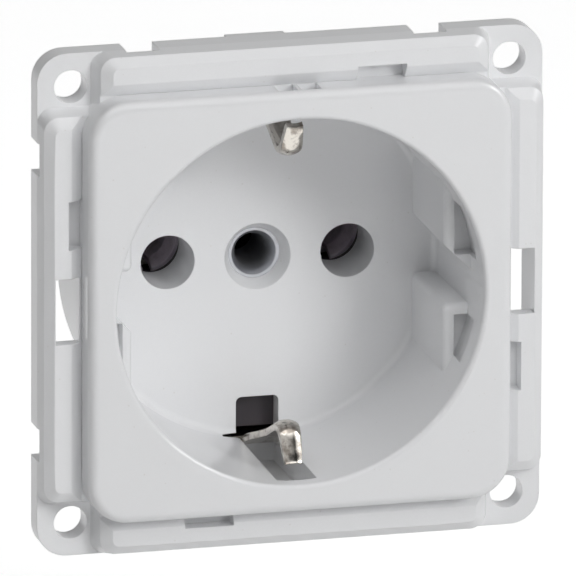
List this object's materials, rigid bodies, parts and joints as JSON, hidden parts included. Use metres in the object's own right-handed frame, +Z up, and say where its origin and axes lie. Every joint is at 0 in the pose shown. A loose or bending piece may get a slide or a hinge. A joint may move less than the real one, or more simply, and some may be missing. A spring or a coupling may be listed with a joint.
{
  "type": "wall socket",
  "caption": "Type F earthed wall socket with side earth clips in a round plug recess, on a square screw-on mounting flange with a raised centre plate.",
  "frame": {"origin": "centre of the four fixing holes, on the rear plane of the mounting flange", "axes": "+Z up, the front with the plug recess faces -Y, +X to the right as seen from the front"},
  "size_m": [0.053, 0.0388, 0.053],
  "materials": {
    "housing_plastic": "moulded, satin gloss",
    "base_plastic": "moulded, matt",
    "nickel_plate": "nickel plated, bright",
    "brass": "bare, rolled",
    "zinc_steel": "zinc plated, satin"
  },
  "bodies": {
    "root": {"front_housing": "housing_plastic", "contact_base": "base_plastic", "rear_cover": "base_plastic", "earth_bracket": "nickel_plate", "centre_rivet": "nickel_plate", "earth_terminal_strap": "brass", "live_contact": "brass", "neutral_contact": "brass", "live_terminal_nut": "brass", "neutral_terminal_nut": "brass", "earth_terminal_nut": "brass", "live_clamp_plate": "zinc_steel", "neutral_clamp_plate": "zinc_steel", "earth_clamp_plate": "zinc_steel", "live_terminal_screw": "zinc_steel", "neutral_terminal_screw": "zinc_steel", "earth_terminal_screw": "zinc_steel", "live_contact_spring": "zinc_steel", "neutral_contact_spring": "zinc_steel", "rivet_washer": "zinc_steel", "cover_screw_left": "zinc_steel", "cover_screw_right": "zinc_steel"}
  },
  "joints": []
}
